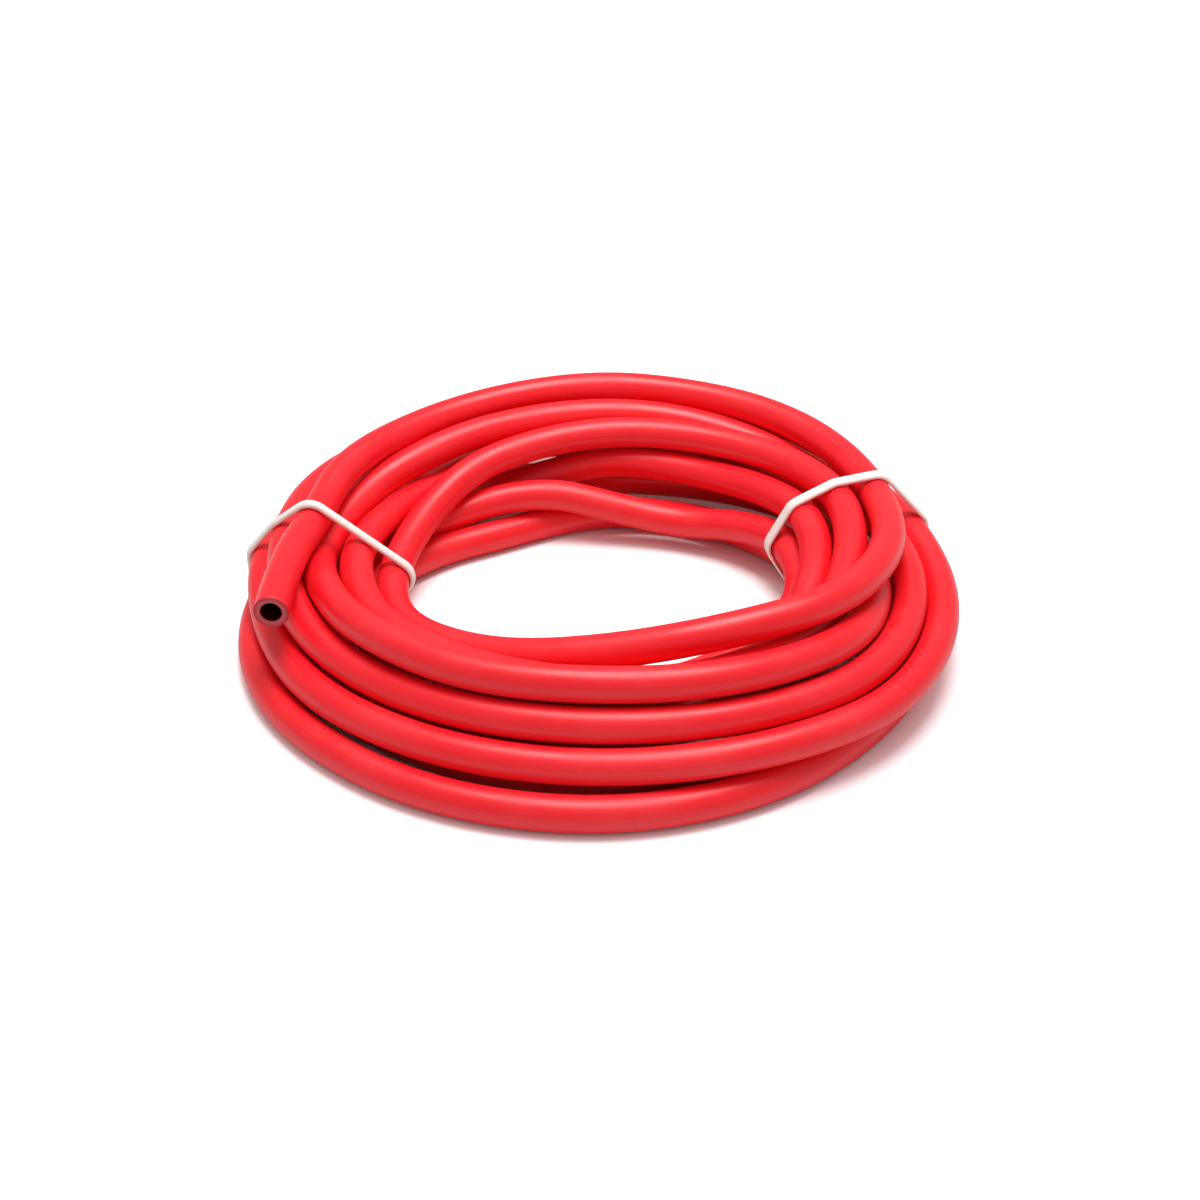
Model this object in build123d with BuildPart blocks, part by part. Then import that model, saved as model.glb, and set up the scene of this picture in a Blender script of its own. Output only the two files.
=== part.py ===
"""A loose coil of rubber vacuum tubing, held by two elastic ties."""

from build123d import *
import math
import os

# Driving dimensions, in millimetres. The origin is at the middle of the coil, on the surface it lies on.
TUBE_DIAMETER = 10.0
BORE_DIAMETER = 6.0
TIE_WIDTH = 2.2
TIE_THICKNESS = 0.8
TIE_SLACK = 0.6

# How the turns lie: the gap kept between the middles of two neighbouring turns, and how low they may
# lie. The smooth tube rises only about 0.7 of the way to a point that stands over its neighbours.
TURN_SPACING = 10.8
LOWEST_LANE = TUBE_DIAMETER / 2
LOWEST_LANE_AT_TIE = LOWEST_LANE + (TIE_THICKNESS + TIE_SLACK) / 0.7
SETTLING_ROUNDS = 400

# The places round the coil where its lanes are given, as angles: the left tie comes first and the
# right tie fifth, with the back between them and the front after them.
PLACES = (180, 135, 90, 50, 10, -40, -90, -140)
LEFT_TIE = 0
RIGHT_TIE = 4
POINTS_PER_PLACE = 2
POINTS_PER_TURN = POINTS_PER_PLACE * len(PLACES)

# Each tie crosses the turns at an angle and a radius, and runs outwards there in a direction of its own.
LEFT_TIE_AT = (183, 83, 172)
RIGHT_TIE_AT = (10, 83, 10)

# The middle that the lanes are given round, which puts the origin under the middle of the whole coil.
MIDDLE = (1.17, 7.63)

# The lane of each turn at those places, as radius and height, from the free end inwards.
TURNS = (
    ((86.5, 30.5), (81.5, 33), (79, 36.5), (82.5, 33.5), (86.5, 31.5), (86, 35), (67.5, 27), (69, 18)),
    ((64.5, 13.5), (60.5, 25), (57.2, 30), (65, 30), (76.5, 30), (80, 23), (77.8, 25), (80, 25)),
    ((77, 21.3), (70, 19), (70, 21), (71, 18.5), (75.5, 20), (91, 26), (86.5, 30), (91, 28.5)),
    ((87, 19.8), (69.5, 29), (67.8, 31.9), (75, 27), (89.5, 21), (99, 20), (92.8, 22), (95, 19.5)),
    ((96.5, 23.5), (100, 19), (88, 25), (88, 24), (99.5, 16.5), (107, 14), (99.3, 14), (101.5, 12)),
    ((102.5, 16), (97, 8), (93, 14), (95, 11), (101.5, 6.1), (104, 5), (109.5, 5), (110.5, 5)),
    ((103.8, 5.9), (86, 6), (64, 8.5), (74, 9), (84.5, 9), (93, 6), (93.5, 5), (97.5, 5)),
    ((93.3, 5.9), (69, 8.5), (57.5, 19.5), (59, 20), (64.2, 25.3), (75, 21.5), (82.5, 12), (87, 7)),
    ((83, 7.5), (55, 14), (39, 12.5), (44, 9), (61, 15.3), (69, 13), (72.5, 15.5), (77, 10)),
    ((72, 5.9), (47, 5), (47, 5), (54.5, 5), (64, 6.1), (69, 5), (68, 5)),
)

# The free end lies over the turns below it. It bends at this angle, radius and height, just past the
# left tie, and its last run points straight to -Y.
FREE_END_BEND = (196.7, 95.6, 33.4)
FREE_END_RUN = 27.5

# The corners of the route that belong to the free end and to the inner end, as the tube is divided.
FREE_END_CORNERS = 2
INNER_END_CORNERS = 2


def between(before, start, end, after, share):
    """A value on the smooth curve from start to end that also heads for the values beside them."""
    leave = (end - before) / 2
    arrive = (after - start) / 2
    square = share**2
    cube = share**3
    return (
        (2 * cube - 3 * square + 1) * start
        + (cube - 2 * square + share) * leave
        + (3 * square - 2 * cube) * end
        + (cube - square) * arrive
    )


def lanes():
    """Angle, radius and height of each point of the coil, before the turns settle."""
    places = [
        (PLACES[i] - 360 * turn, *lane) for turn, row in enumerate(TURNS) for i, lane in enumerate(row)
    ]
    run = [places[0], *places, places[-1]]
    points = []
    for i in range(1, len(run) - 2):
        for step in range(POINTS_PER_PLACE):
            share = step / POINTS_PER_PLACE
            points.append([between(*values, share) for values in zip(*run[i - 1 : i + 3])])
    return points + [list(places[-1])]


def settle(points):
    """Turns that lie too close push each other apart across the coil, and stay above the surface.

    Each point meets the points of the other turns at its own angle, and so does the middle of each run.
    """
    for _ in range(SETTLING_ROUNDS):
        for size in (1, 2):
            for i in range(len(points) - size + 1):
                for j in range(i + POINTS_PER_TURN, len(points) - size + 1, POINTS_PER_TURN):
                    inner, outer = points[i : i + size], points[j : j + size]
                    across = sum(b[1] - a[1] for a, b in zip(inner, outer)) / size
                    up = sum(b[2] - a[2] for a, b in zip(inner, outer)) / size
                    apart = math.hypot(across, up)
                    if apart < TURN_SPACING:
                        push = (TURN_SPACING - apart) / 2 / apart
                        for a, b in zip(inner, outer):
                            a[1] -= across * push
                            a[2] -= up * push
                            b[1] += across * push
                            b[2] += up * push
        for i, point in enumerate(points):
            at_tie = i % POINTS_PER_TURN in (LEFT_TIE * POINTS_PER_PLACE, RIGHT_TIE * POINTS_PER_PLACE)
            point[2] = max(point[2], LOWEST_LANE_AT_TIE if at_tie else LOWEST_LANE)
    return points


def place(angle, radius, height):
    """The point at an angle, radius and height round the middle of the turns."""
    return Vector(*MIDDLE) + Vector(radius, 0, height).rotate(Axis.Z, angle)


def corner_radii(points):
    """The largest arc that fits each corner of a route, leaving a tenth of the shorter run straight."""
    radii = []
    for a, b, c in zip(points, points[1:], points[2:]):
        turn = math.radians((b - a).get_angle(c - b))
        radii.append(0.45 * min((b - a).length, (c - b).length) / math.tan(turn / 2))
    return radii


def tube(points, radii):
    """The tubing's hollow section, swept along straight runs joined by tangent arcs."""
    with BuildPart() as part:
        with BuildLine() as route:
            FilletPolyline(*points, radius=radii)
        path = route.wires()[0]
        with BuildSketch(Plane(origin=path @ 0, z_dir=path % 0)):
            Circle(TUBE_DIAMETER / 2)
            Circle(BORE_DIAMETER / 2, mode=Mode.SUBTRACT)
        sweep(path=path, clean=False)
    section = math.pi * (TUBE_DIAMETER**2 - BORE_DIAMETER**2) / 4
    share = part.part.volume / (section * path.length)
    print(f"tube {path.length:.0f} mm long, volume over section times length {share:.4f}")
    return part


def hull(middles, radius):
    """The outline of a band stretched round circles of one radius."""
    with BuildSketch() as outline:
        with Locations(*middles):
            Circle(radius)
        make_hull()
    return outline.sketch


def tie(angle, radius, direction):
    """A flat elastic band, stretched round all the turns where they cross one upright plane."""
    outwards = Vector(1, 0, 0).rotate(Axis.Z, direction)
    across = Plane(
        origin=place(angle, radius, 0), x_dir=outwards, z_dir=outwards.rotate(Axis.Z, -90)
    )
    crossings = []
    for before, corner, after in zip(route, route[1:], route[2:]):
        # The smooth tube round a corner is a parabola between the middles of its two runs.
        bow = ((before + corner) / 2, corner, (corner + after) / 2)
        first, second, third = ((point - across.origin).dot(across.z_dir) for point in bow)
        if first * third < 0 < outwards.dot(corner - Vector(*MIDDLE)):
            slope = second - first
            share = -first / (slope + math.copysign(math.sqrt(second**2 - first * third), slope))
            point = bow[0] * (1 - share) ** 2 + bow[1] * 2 * share * (1 - share) + bow[2] * share**2
            crossings.append(((point - across.origin).dot(outwards), point.Z))
    inside = TUBE_DIAMETER / 2 + TIE_SLACK
    outer = hull(crossings, inside + TIE_THICKNESS)
    inner = hull(crossings, inside)
    with BuildPart() as part:
        with BuildSketch(across):
            add(outer)
            add(inner, mode=Mode.SUBTRACT)
        extrude(amount=TIE_WIDTH / 2, both=True)
    print("tie round", len(crossings), "turns,", len(part.faces()), "faces")
    return part


bend = place(*FREE_END_BEND)
route = [bend - Vector(0, FREE_END_RUN, 0), bend, *(place(*lane) for lane in settle(lanes()))]
radii = corner_radii(route)
print("corner radii from", round(min(radii), 1), "to", round(max(radii), 1), "mm")

# The tube is one piece, made here in stretches that meet face to face in the middle of a run: the free
# end, one stretch for each turn, and the inner end. Each cut follows the corner that it names.
last_cut = len(radii) - INNER_END_CORNERS
cuts = [0, *range(FREE_END_CORNERS, last_cut, POINTS_PER_TURN), last_cut, len(radii)]
names = ["free_end", *(f"turn_{number}" for number in range(1, len(cuts) - 2)), "inner_end"]
os.makedirs("parts", exist_ok=True)
for name, first, last in zip(names, cuts, cuts[1:]):
    start = route[0] if first == 0 else (route[first] + route[first + 1]) / 2
    end = route[-1] if last == len(radii) else (route[last] + route[last + 1]) / 2
    stretch = tube([start, *route[first + 1 : last + 1], end], radii[first:last])
    stretch.part.label = name
    export_step(stretch.part, f"parts/{name}.step")

tie_left = tie(*LEFT_TIE_AT)
tie_left.part.label = "tie_left"
export_step(tie_left.part, "parts/tie_left.step")
tie_right = tie(*RIGHT_TIE_AT)
tie_right.part.label = "tie_right"
export_step(tie_right.part, "parts/tie_right.step")
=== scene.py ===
"""A loose coil of red rubber vacuum tubing, held by two pale elastic ties, on a white bench."""

import math

import bpy
import numpy as np
from mathutils import Matrix, Vector


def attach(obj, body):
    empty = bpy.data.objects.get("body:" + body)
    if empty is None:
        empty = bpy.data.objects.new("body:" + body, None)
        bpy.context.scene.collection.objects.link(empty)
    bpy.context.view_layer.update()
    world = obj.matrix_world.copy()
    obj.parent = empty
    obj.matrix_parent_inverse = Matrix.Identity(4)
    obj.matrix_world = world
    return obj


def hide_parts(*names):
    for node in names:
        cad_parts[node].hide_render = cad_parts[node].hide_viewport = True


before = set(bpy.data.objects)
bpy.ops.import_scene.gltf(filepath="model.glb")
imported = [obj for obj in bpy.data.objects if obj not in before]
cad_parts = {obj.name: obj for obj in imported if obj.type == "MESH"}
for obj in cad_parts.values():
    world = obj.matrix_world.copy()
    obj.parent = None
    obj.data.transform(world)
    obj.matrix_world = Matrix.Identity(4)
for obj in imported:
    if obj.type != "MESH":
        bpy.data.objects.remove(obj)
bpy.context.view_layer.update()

# ---------------------------------------------------------------------------------------------- camera
# It looks along +Y and down at the coil, from as high as a person who leans over the bench.
lens = bpy.data.cameras.new("camera")
lens.sensor_width = 36
lens.lens = 52.5
camera = bpy.data.objects.new("camera", lens)
camera.location = (0.00057, -0.44857, 0.3032)
camera.rotation_euler = (math.radians(56.5), 0, 0)
bpy.context.collection.objects.link(camera)
bpy.context.scene.camera = camera

# --------------------------------------------------------------------------------------------- tubing
# One length of thick-walled red rubber tubing, in a loose coil of ten turns that lie beside and over
# each other. Both ends are cut square and left open, and only the two ties hold the turns.
TUBE_DIAMETER = 0.010
BORE_DIAMETER = 0.006

# The route is the one of the solid tube: the lane of each turn at these angles, as radius and height,
# from the free end inwards. Turns that come closer than the spacing push each other apart. At a tie
# the lowest turn leaves room for it, and its smooth line rises only that share of the way to its point.
PLACES = (180, 135, 90, 50, 10, -40, -90, -140)
LEFT_TIE = 0
RIGHT_TIE = 4
POINTS_PER_PLACE = 2
POINTS_PER_TURN = POINTS_PER_PLACE * len(PLACES)
MIDDLE = (0.00117, 0.00763)
TURN_SPACING = 0.0108
LOWEST_LANE = TUBE_DIAMETER / 2
TIE_ROOM = 0.0014
RISE_OF_SMOOTH_TUBE = 0.7
LOWEST_LANE_AT_TIE = LOWEST_LANE + TIE_ROOM / RISE_OF_SMOOTH_TUBE
SETTLING_ROUNDS = 400
TURNS = (
    (
        (0.0865, 0.0305), (0.0815, 0.033), (0.079, 0.0365), (0.0825, 0.0335),
        (0.0865, 0.0315), (0.086, 0.035), (0.0675, 0.027), (0.069, 0.018),
    ),
    (
        (0.0645, 0.0135), (0.0605, 0.025), (0.0572, 0.03), (0.065, 0.03),
        (0.0765, 0.03), (0.08, 0.023), (0.0778, 0.025), (0.08, 0.025),
    ),
    (
        (0.077, 0.0213), (0.07, 0.019), (0.07, 0.021), (0.071, 0.0185),
        (0.0755, 0.02), (0.091, 0.026), (0.0865, 0.03), (0.091, 0.0285),
    ),
    (
        (0.087, 0.0198), (0.0695, 0.029), (0.0678, 0.0319), (0.075, 0.027),
        (0.0895, 0.021), (0.099, 0.02), (0.0928, 0.022), (0.095, 0.0195),
    ),
    (
        (0.0965, 0.0235), (0.1, 0.019), (0.088, 0.025), (0.088, 0.024),
        (0.0995, 0.0165), (0.107, 0.014), (0.0993, 0.014), (0.1015, 0.012),
    ),
    (
        (0.1025, 0.016), (0.097, 0.008), (0.093, 0.014), (0.095, 0.011),
        (0.1015, 0.0061), (0.104, 0.005), (0.1095, 0.005), (0.1105, 0.005),
    ),
    (
        (0.1038, 0.0059), (0.086, 0.006), (0.064, 0.0085), (0.074, 0.009),
        (0.0845, 0.009), (0.093, 0.006), (0.0935, 0.005), (0.0975, 0.005),
    ),
    (
        (0.0933, 0.0059), (0.069, 0.0085), (0.0575, 0.0195), (0.059, 0.02),
        (0.0642, 0.0253), (0.075, 0.0215), (0.0825, 0.012), (0.087, 0.007),
    ),
    (
        (0.083, 0.0075), (0.055, 0.014), (0.039, 0.0125), (0.044, 0.009),
        (0.061, 0.0153), (0.069, 0.013), (0.0725, 0.0155), (0.077, 0.01),
    ),
    (
        (0.072, 0.0059), (0.047, 0.005), (0.047, 0.005), (0.0545, 0.005),
        (0.064, 0.0061), (0.069, 0.005), (0.068, 0.005),
    ),
)

# The free end lies over the turns below it, bends just past the left tie and then points to -Y.
FREE_END_BEND = (196.7, 0.0956, 0.0334)
FREE_END_RUN = 0.0275


def between(before, start, end, after, share):
    """A value on the smooth curve from start to end that also heads for the values beside them."""
    leave = (end - before) / 2
    arrive = (after - start) / 2
    square = share**2
    cube = share**3
    return (
        (2 * cube - 3 * square + 1) * start
        + (cube - 2 * square + share) * leave
        + (3 * square - 2 * cube) * end
        + (cube - square) * arrive
    )


def lanes():
    """Angle, radius and height of each point of the coil, before the turns settle."""
    places = [
        (PLACES[i] - 360 * turn, *lane) for turn, row in enumerate(TURNS) for i, lane in enumerate(row)
    ]
    run = [places[0], *places, places[-1]]
    points = []
    for i in range(1, len(run) - 2):
        for step in range(POINTS_PER_PLACE):
            share = step / POINTS_PER_PLACE
            points.append([between(*values, share) for values in zip(*run[i - 1 : i + 3])])
    return points + [list(places[-1])]


def settle(points):
    """Turns that lie too close push each other apart across the coil, and stay above the bench."""
    for _ in range(SETTLING_ROUNDS):
        for size in (1, 2):
            for i in range(len(points) - size + 1):
                for j in range(i + POINTS_PER_TURN, len(points) - size + 1, POINTS_PER_TURN):
                    inner, outer = points[i : i + size], points[j : j + size]
                    across = sum(b[1] - a[1] for a, b in zip(inner, outer)) / size
                    up = sum(b[2] - a[2] for a, b in zip(inner, outer)) / size
                    apart = math.hypot(across, up)
                    if apart < TURN_SPACING:
                        push = (TURN_SPACING - apart) / 2 / apart
                        for a, b in zip(inner, outer):
                            a[1] -= across * push
                            a[2] -= up * push
                            b[1] += across * push
                            b[2] += up * push
        for i, point in enumerate(points):
            at_tie = i % POINTS_PER_TURN in (LEFT_TIE * POINTS_PER_PLACE, RIGHT_TIE * POINTS_PER_PLACE)
            point[2] = max(point[2], LOWEST_LANE_AT_TIE if at_tie else LOWEST_LANE)
    return points


def place(angle, radius, height):
    """The point at an angle, radius and height round the middle of the turns."""
    turned = Matrix.Rotation(math.radians(angle), 4, "Z") @ Vector((radius, 0, height))
    return Vector((*MIDDLE, 0)) + turned


bend = place(*FREE_END_BEND)
route = [bend - Vector((0, FREE_END_RUN, 0)), bend, *(place(*lane) for lane in settle(lanes()))]

line = bpy.data.curves.new("tubing_line", "CURVE")
line.dimensions = "3D"
line.resolution_u = 8
spline = line.splines.new("NURBS")
spline.points.add(len(route) - 1)
for point, middle in zip(spline.points, route):
    point.co = (*middle, 1)
spline.order_u = 3
spline.use_endpoint_u = True
line_holder = bpy.data.objects.new("tubing_line", line)
line_mesh = bpy.data.meshes.new_from_object(line_holder)
centreline = np.array([vertex.co for vertex in line_mesh.vertices])
bpy.data.objects.remove(line_holder)
bpy.data.meshes.remove(line_mesh)

SIDES = 32
LIP = 0.00025
FLATTENING = 0.006
FLATTENING_PER_METRE = 21
SWELLING = 0.004
SWELLING_PER_METRE = 57

# The profile of a cut, as radius and depth: hand-cut rubber has a little rounded edge, and its face is
# a little hollow.
CUT = (
    (TUBE_DIAMETER / 2, 3 * LIP),
    (TUBE_DIAMETER / 2 - 0.1 * LIP, 1.2 * LIP),
    (TUBE_DIAMETER / 2 - 0.5 * LIP, 0.3 * LIP),
    (TUBE_DIAMETER / 2 - 1.5 * LIP, 0),
    (TUBE_DIAMETER / 4 + BORE_DIAMETER / 4, 0.6 * LIP),
    (BORE_DIAMETER / 2 + 1.2 * LIP, 0.2 * LIP),
    (BORE_DIAMETER / 2 + 0.4 * LIP, 0.6 * LIP),
    (BORE_DIAMETER / 2, 1.8 * LIP),
)


def tube_rings(points):
    """Rings of the tube, from the first cut along the outside to the last cut and back in the bore.

    Each ring is its middle, the two directions across it, its radius and how far along the tube it is.
    """
    along = np.gradient(points, axis=0)
    along /= np.linalg.norm(along, axis=1)[:, None]
    distance = np.r_[0, np.cumsum(np.linalg.norm(np.diff(points, axis=0), axis=1))]
    side = np.cross(along[0], (0.0, 0.0, 1.0))
    sides = []
    for direction in along:
        side = side - direction * (side @ direction)
        side = side / np.linalg.norm(side)
        sides.append(side)
    tops = np.cross(along, sides)
    last = len(points) - 1

    def ring(i, radius, depth=0.0):
        inwards = along[i] if i == 0 else -along[i]
        return points[i] + inwards * depth, sides[i], tops[i], radius, distance[i]

    return [
        *(ring(0, *step) for step in reversed(CUT)),
        *(ring(i, TUBE_DIAMETER / 2) for i in range(1, last)),
        *(ring(last, *step) for step in CUT),
        *(ring(i, BORE_DIAMETER / 2) for i in range(last - 1, 0, -1)),
    ]


rings = tube_rings(centreline)
turn = np.linspace(0, 2 * math.pi, SIDES, endpoint=False)
vertices = []
for middle, side, top, radius, at in rings:
    # An extruded tube is never quite round: it swells and flattens by up to a hundredth of its size.
    flattened = FLATTENING * np.sin(2 * turn + FLATTENING_PER_METRE * at)
    round_off = 1 + flattened + SWELLING * math.sin(SWELLING_PER_METRE * at)
    offset = np.outer(np.cos(turn), side) + np.outer(np.sin(turn), top)
    vertices.append(middle + offset * (radius * round_off)[:, None])
faces = []
for i in range(len(rings)):
    here, there = i * SIDES, (i + 1) % len(rings) * SIDES
    for j in range(SIDES):
        beside = (j + 1) % SIDES
        faces.append((here + j, here + beside, there + beside, there + j))
tubing_mesh = bpy.data.meshes.new("tubing")
tubing_mesh.from_pydata(np.concatenate(vertices).tolist(), [], faces)
tubing_mesh.shade_smooth()

# Where a point of the skin lies round the tube (0 to 1) and along it (metres), for the material.
skin_map = tubing_mesh.uv_layers.new(name="round_and_along")
lengths = [at for *_, at in rings]
coordinates = []
for i in range(len(rings)):
    near, far = lengths[i], lengths[(i + 1) % len(rings)]
    for j in range(SIDES):
        left, right = j / SIDES, (j + 1) / SIDES
        coordinates += [left, near, right, near, right, far, left, far]
skin_map.data.foreach_set("uv", coordinates)
from_axis = tubing_mesh.attributes.new("from_axis", "FLOAT", "POINT")
from_axis.data.foreach_set("value", np.repeat([radius for *_, radius, _ in rings], SIDES))
tubing = bpy.data.objects.new("tubing", tubing_mesh)
bpy.context.collection.objects.link(tubing)
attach(tubing, "root")
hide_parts("free_end", *(f"turn_{number}" for number in range(1, 11)), "inner_end")


def new_group(name, inputs, outputs):
    """A node group with its sockets, its nodes' tree, and the nodes at its two ends."""
    tree = bpy.data.node_groups.new(name, "ShaderNodeTree")
    for socket, kind in inputs.items():
        tree.interface.new_socket(socket, in_out="INPUT", socket_type=kind)
    for socket, kind in outputs.items():
        tree.interface.new_socket(socket, in_out="OUTPUT", socket_type=kind)
    return tree, tree.nodes.new("NodeGroupInput"), tree.nodes.new("NodeGroupOutput")


def add_node(tree, kind, links=None, **settings):
    """A node with its settings, and its inputs linked to sockets or set to values, by name or number."""
    made = tree.nodes.new(kind)
    for key, value in settings.items():
        setattr(made, key, value)
    for key, value in (links or {}).items():
        if isinstance(value, bpy.types.NodeSocket):
            tree.links.new(value, made.inputs[key])
        else:
            made.inputs[key].default_value = value
    return made


def mixed(tree, factor, first, second):
    """The colour between two, by a factor."""
    mix = add_node(tree, "ShaderNodeMix", data_type="RGBA")
    for socket, value in zip((mix.inputs[0], mix.inputs[6], mix.inputs[7]), (factor, first, second)):
        if isinstance(value, bpy.types.NodeSocket):
            tree.links.new(value, socket)
        else:
            socket.default_value = value
    return mix.outputs[2]


def ramped(tree, value, low, high, to_low=0.0, to_high=1.0):
    """A value taken smoothly from one range to another, and held at its ends."""
    names = ("Value", "From Min", "From Max", "To Min", "To Max")
    links = dict(zip(names, (value, low, high, to_low, to_high)))
    return add_node(tree, "ShaderNodeMapRange", links, interpolation_type="SMOOTHSTEP").outputs[0]


def noise(tree, vector, scale, detail=3.0, roughness=0.5):
    """The height of a noise, about 0.5, at a place."""
    links = {"Vector": vector, "Scale": scale, "Detail": detail, "Roughness": roughness}
    return add_node(tree, "ShaderNodeTexNoise", links).outputs[0]


def maths(tree, operation, first, second=0.0):
    """One sum on two values."""
    return add_node(tree, "ShaderNodeMath", {0: first, 1: second}, operation=operation).outputs[0]


# Rubber skin, shared by the tubing and its ties: long fine streaks from the die, cloudy bloom, dust.
STREAKS_ROUND = 46.0
STREAKS_PER_METRE = 5.0
GRAIN_SCALE = 2600.0
SPECK_SCALE = 1150.0
skin, given, result = new_group(
    "rubber_skin",
    {
        "Colour": "NodeSocketColor",
        "Streak": "NodeSocketColor",
        "Bloom": "NodeSocketColor",
        "Place": "NodeSocketVector",
        "Round and along": "NodeSocketVector",
        "Bloom size": "NodeSocketFloat",
    },
    {"Colour": "NodeSocketColor", "Roughness": "NodeSocketFloat", "Height": "NodeSocketFloat"},
)
stretched = add_node(
    skin,
    "ShaderNodeVectorMath",
    {0: given.outputs["Round and along"], 1: (STREAKS_ROUND, STREAKS_PER_METRE, 0.0)},
    operation="MULTIPLY",
)
streaks = noise(skin, stretched.outputs[0], 1.0, detail=4.0)
clouds = noise(skin, given.outputs["Place"], given.outputs["Bloom size"], detail=5.0, roughness=0.62)
grain = noise(skin, given.outputs["Place"], GRAIN_SCALE, detail=2.0)
speckle = noise(skin, given.outputs["Place"], SPECK_SCALE, detail=1.0)
specks = ramped(skin, speckle, 0.73, 0.78)
streaked = mixed(
    skin, ramped(skin, streaks, 0.38, 0.68, 0.0, 0.55), given.outputs["Colour"], given.outputs["Streak"]
)
bloomed = mixed(skin, ramped(skin, clouds, 0.42, 0.78, 0.0, 0.16), streaked, given.outputs["Bloom"])
dusty = mixed(skin, maths(skin, "MULTIPLY", specks, 0.22), bloomed, given.outputs["Bloom"])
skin.links.new(dusty, result.inputs["Colour"])
cloud_roughness = ramped(skin, clouds, 0.3, 0.75, 0.30, 0.44)
rough = maths(skin, "ADD", cloud_roughness, maths(skin, "MULTIPLY", streaks, 0.08))
skin.links.new(rough, result.inputs["Roughness"])
streak_height = maths(skin, "MULTIPLY", streaks, 0.7)
height = maths(skin, "ADD", streak_height, maths(skin, "MULTIPLY", grain, 0.3))
skin.links.new(height, result.inputs["Height"])

red_rubber = bpy.data.materials.new("red_rubber")
red_rubber.use_nodes = True
tree = red_rubber.node_tree
shader = tree.nodes["Principled BSDF"]
where = add_node(tree, "ShaderNodeUVMap", uv_map="round_and_along").outputs[0]
spot = add_node(tree, "ShaderNodeTexCoord").outputs["Object"]
skin_node = add_node(tree, "ShaderNodeGroup", node_tree=skin)
for socket, value in {
    "Colour": (0.94, 0.010, 0.020, 1),
    "Streak": (0.84, 0.007, 0.016, 1),
    "Bloom": (0.97, 0.09, 0.10, 1),
    "Bloom size": 38.0,
}.items():
    skin_node.inputs[socket].default_value = value
tree.links.new(spot, skin_node.inputs["Place"])
tree.links.new(where, skin_node.inputs["Round and along"])

# A painted highlight, a thin pale line, runs along the skin this share of the way round. It fades in and
# out.
PAINTED_HIGHLIGHT_AT = 0.36
round_along = add_node(tree, "ShaderNodeSeparateXYZ", {0: where})
from_painted_highlight = maths(tree, "ABSOLUTE", maths(tree, "SUBTRACT", round_along.outputs[0], PAINTED_HIGHLIGHT_AT))
painted_highlight_breaks = noise(tree, maths(tree, "MULTIPLY", round_along.outputs[1], 14.0), 1.0, detail=2.0)
on_painted_highlight = maths(
    tree,
    "MULTIPLY",
    ramped(tree, from_painted_highlight, 0.004, 0.011, 1.0, 0.0),
    ramped(tree, painted_highlight_breaks, 0.35, 0.6, 0.15, 0.75),
)
# The painted highlight's pale pink goes over the skin's colour.
with_painted_highlight = mixed(tree, on_painted_highlight, skin_node.outputs["Colour"], (0.95, 0.36, 0.38, 1))

# The cut faces are duller than the skin, and darker towards their outer edge.
from_axis_node = add_node(tree, "ShaderNodeAttribute", attribute_name="from_axis").outputs["Fac"]
cut_colour = mixed(
    tree, ramped(tree, from_axis_node, 0.0034, 0.0049), (0.60, 0.085, 0.10, 1), (0.46, 0.022, 0.042, 1)
)
on_cut = maths(
    tree,
    "MULTIPLY",
    ramped(tree, from_axis_node, 0.00302, 0.0031),
    ramped(tree, from_axis_node, 0.00488, 0.00496, 1.0, 0.0),
)
cut_grain = noise(tree, spot, 1500.0, detail=3.0)
outside_and_cut = mixed(tree, on_cut, with_painted_highlight, cut_colour)
# Painted shade: the bore, red rubber like the rest, is painted nearly black.
painted_bore_shade = ramped(tree, from_axis_node, 0.003, 0.00305, 1.0, 0.0)
tree.links.new(mixed(tree, painted_bore_shade, outside_and_cut, (0.05, 0.006, 0.007, 1)), shader.inputs["Base Color"])
cut_roughness = maths(tree, "MULTIPLY", on_cut, 0.25)
rough_with_cut = maths(tree, "ADD", skin_node.outputs["Roughness"], cut_roughness)
tree.links.new(rough_with_cut, shader.inputs["Roughness"])
cut_relief = maths(tree, "MULTIPLY", on_cut, maths(tree, "MULTIPLY", cut_grain, 3.0))
relief = maths(tree, "ADD", skin_node.outputs["Height"], cut_relief)
bump = add_node(tree, "ShaderNodeBump", {"Height": relief, "Strength": 0.5, "Distance": 0.00006})
tree.links.new(bump.outputs[0], shader.inputs["Normal"])
shader.inputs["Specular IOR Level"].default_value = 0.5
tubing_mesh.materials.append(red_rubber)

# ----------------------------------------------------------------------------------------------- ties
# Soft pale elastic cord, of natural rubber, stretched taut round all the turns and bridging the dips
# between them. The left one goes round once, and the right one twice. They hold by their own tension.
# Each crosses the turns at an angle and a radius, and runs outwards there in a direction of its own.
LEFT_TIE_AT = (183, 0.083, 172)
RIGHT_TIE_AT = (10, 0.083, 10)
LEFT_TIE_WIDTH = 0.003
LEFT_TIE_THICKNESS = 0.0023
RIGHT_TIE_WIDTH = 0.0022
RIGHT_TIE_THICKNESS = 0.0018
TIE_SIDES = 14
STEPS_ROUND = 180
DRIFT_TILT = 1.2


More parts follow.
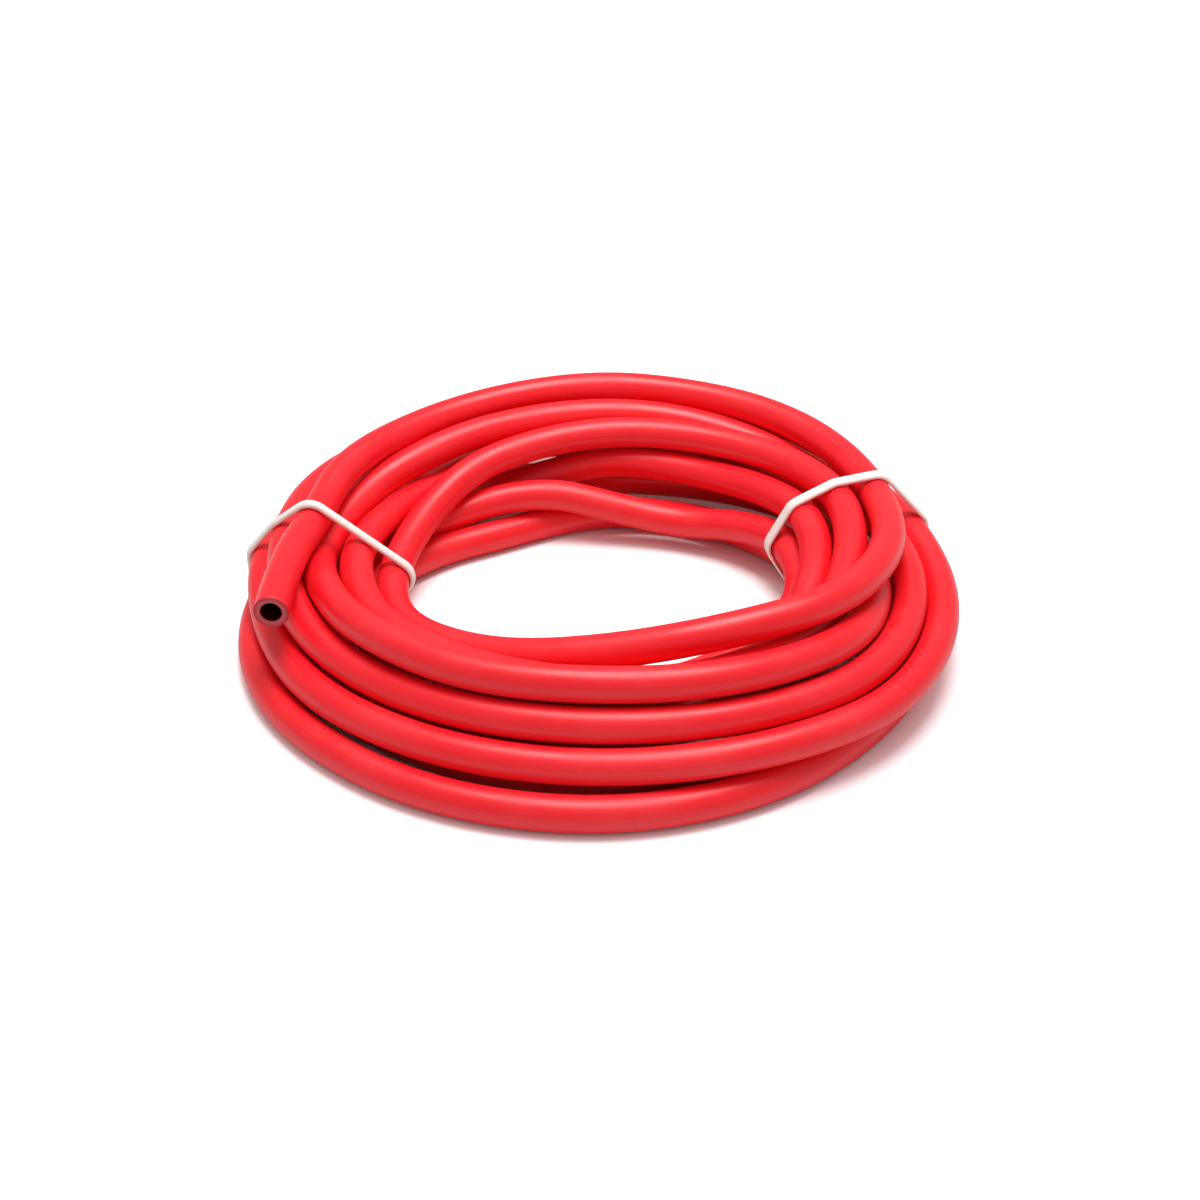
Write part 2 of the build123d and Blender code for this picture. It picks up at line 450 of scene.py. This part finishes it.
def tie_outline(angle, radius, direction):
    """Points of a loop stretched round the turns in one upright plane, and the way across the loop.

    Each point comes with the direction out of the loop and that direction's tilt.
    """
    base = place(angle, radius, 0)
    out = Matrix.Rotation(math.radians(direction), 3, "Z") @ Vector((1, 0, 0))
    up = Vector((0, 0, 1))
    across = up.cross(out)
    middles = []
    for before, after in zip(centreline, centreline[1:]):
        start, end = Vector(before) - base, Vector(after) - base
        if start.dot(across) * end.dot(across) < 0 < start.dot(out) + radius:
            share = start.dot(across) / (start.dot(across) - end.dot(across))
            middles.append(base + start.lerp(end, share))
    outline = []
    for step in range(STEPS_ROUND):
        tilt = 2 * math.pi * step / STEPS_ROUND
        away = out * math.cos(tilt) + up * math.sin(tilt)
        furthest = max(middles, key=lambda middle: middle.dot(away))
        outline.append((furthest + away * TUBE_DIAMETER / 2, away, tilt))
    return outline, across


def tie_strand(name, plane, width, thickness, shift=0.0, drift=0.0):
    """One strand of a tie, shifted across its loop, by an amount that drifts round the loop.

    It is roundest on top of the turns, and squeezed to half its thickness underneath them.
    """
    outline, across = tie_outline(*plane)
    vertices, faces, coordinates = [], [], []
    travelled = 0.0
    for step, (point, away, tilt) in enumerate(outline):
        half_thick = thickness / 2 * (0.75 + 0.25 * math.sin(tilt))
        moved = point + away * half_thick + across * (shift + drift * math.cos(tilt - DRIFT_TILT))
        for side in range(TIE_SIDES):
            turn = 2 * math.pi * side / TIE_SIDES
            vertices.append(
                moved
                + away * (math.sin(turn) * half_thick)
                + across * (math.cos(turn) * width / 2)
            )
            near, far = side / TIE_SIDES, (side + 1) / TIE_SIDES
            following = (step + 1) % STEPS_ROUND
            beside = (side + 1) % TIE_SIDES
            faces.append(
                (
                    step * TIE_SIDES + side,
                    following * TIE_SIDES + side,
                    following * TIE_SIDES + beside,
                    step * TIE_SIDES + beside,
                )
            )
            reached = travelled + (outline[following][0] - point).length
            coordinates += [near, travelled, near, reached, far, reached, far, travelled]
        travelled = reached
    mesh = bpy.data.meshes.new(name)
    mesh.from_pydata(vertices, [], faces)
    mesh.shade_smooth()
    mesh.uv_layers.new(name="round_and_along").data.foreach_set("uv", coordinates)
    mesh.materials.append(pale_rubber)
    strand = bpy.data.objects.new(name, mesh)
    bpy.context.collection.objects.link(strand)
    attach(strand, "root")
    return strand


pale_rubber = bpy.data.materials.new("pale_rubber")
pale_rubber.use_nodes = True
tree = pale_rubber.node_tree
shader = tree.nodes["Principled BSDF"]
skin_node = add_node(tree, "ShaderNodeGroup", node_tree=skin)
for socket, value in {
    "Colour": (0.96, 0.93, 0.86, 1),
    "Streak": (0.93, 0.88, 0.79, 1),
    "Bloom": (0.98, 0.97, 0.94, 1),
    "Bloom size": 160.0,
}.items():
    skin_node.inputs[socket].default_value = value
tree.links.new(add_node(tree, "ShaderNodeTexCoord").outputs["Object"], skin_node.inputs["Place"])
where = add_node(tree, "ShaderNodeUVMap", uv_map="round_and_along").outputs[0]
tree.links.new(where, skin_node.inputs["Round and along"])
tree.links.new(skin_node.outputs["Colour"], shader.inputs["Base Color"])
tree.links.new(maths(tree, "ADD", skin_node.outputs["Roughness"], 0.12), shader.inputs["Roughness"])
bump_links = {"Height": skin_node.outputs["Height"], "Strength": 0.5, "Distance": 0.00008}
bump = add_node(tree, "ShaderNodeBump", bump_links)
tree.links.new(bump.outputs[0], shader.inputs["Normal"])
shader.inputs["Subsurface Weight"].default_value = 0.15
shader.inputs["Subsurface Scale"].default_value = 0.001

tie_left = tie_strand("tie_left_band", LEFT_TIE_AT, LEFT_TIE_WIDTH, LEFT_TIE_THICKNESS)
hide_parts("tie_left")
right_strand = (RIGHT_TIE_AT, RIGHT_TIE_WIDTH, RIGHT_TIE_THICKNESS)
tie_right = tie_strand("tie_right_band", *right_strand)
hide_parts("tie_right")
tie_strand("tie_right_second_round", *right_strand, shift=-0.0021, drift=0.0005)

# ----------------------------------------------------------------------------------- bench and lights
# A wide white bench top in an even white room, with one soft lamp overhead. To the camera the top
# glows a little, more towards its far edges and not in the gaps under the tubing, so that it stays white.
bench_mesh = bpy.data.meshes.new("bench")
HALF_BENCH = 4.0
corners = ((-1, -1), (1, -1), (1, 1), (-1, 1))
bench_mesh.from_pydata([(x * HALF_BENCH, y * HALF_BENCH, 0) for x, y in corners], [], [(0, 1, 2, 3)])
bench = bpy.data.objects.new("bench", bench_mesh)
bpy.context.collection.objects.link(bench)
NEAR_GLOW = 0.3
FAR_GLOW = 0.65
white_top = bpy.data.materials.new("white_top")
white_top.use_nodes = True
tree = white_top.node_tree
shader = tree.nodes["Principled BSDF"]
seen = add_node(tree, "ShaderNodeLightPath").outputs["Is Camera Ray"]
top_colour = mixed(tree, seen, (0.80, 0.80, 0.80, 1), (1.0, 1.0, 1.0, 1))
tree.links.new(top_colour, shader.inputs["Base Color"])
shader.inputs["Emission Color"].default_value = (1.0, 1.0, 1.0, 1)
open_above = add_node(tree, "ShaderNodeAmbientOcclusion", {"Distance": 0.04}, samples=4).outputs["AO"]
spot = add_node(tree, "ShaderNodeTexCoord").outputs["Object"]
from_middle = add_node(tree, "ShaderNodeVectorMath", {0: spot}, operation="LENGTH").outputs["Value"]
glow = maths(tree, "MULTIPLY", seen, ramped(tree, from_middle, 0.25, 1.2, NEAR_GLOW, FAR_GLOW))
glow = maths(tree, "MULTIPLY", glow, ramped(tree, open_above, 0.25, 0.8))
tree.links.new(glow, shader.inputs["Emission Strength"])
shader.inputs["Roughness"].default_value = 0.9
shader.inputs["Specular IOR Level"].default_value = 0.0
bench_mesh.materials.append(white_top)

room = bpy.data.worlds.new("room")
room.use_nodes = True
bpy.context.scene.world = room
tree = room.node_tree
background = tree.nodes["Background"]
seen = add_node(tree, "ShaderNodeLightPath").outputs["Is Camera Ray"]
room_colour = mixed(tree, seen, (0.40, 0.40, 0.41, 1), (1.0, 1.0, 1.0, 1))
tree.links.new(room_colour, background.inputs["Color"])

softbox = bpy.data.lights.new("softbox", "AREA")
softbox.shape = "SQUARE"
softbox.size = 0.5
softbox.energy = 8.5
lamp = bpy.data.objects.new("softbox", softbox)
lamp.location = (0.05, 0.06, 0.95)
lamp.rotation_euler = (lamp.location * -1).to_track_quat("-Z", "Y").to_euler()
bpy.context.collection.objects.link(lamp)

scene = bpy.context.scene
scene.view_settings.view_transform = "Standard"
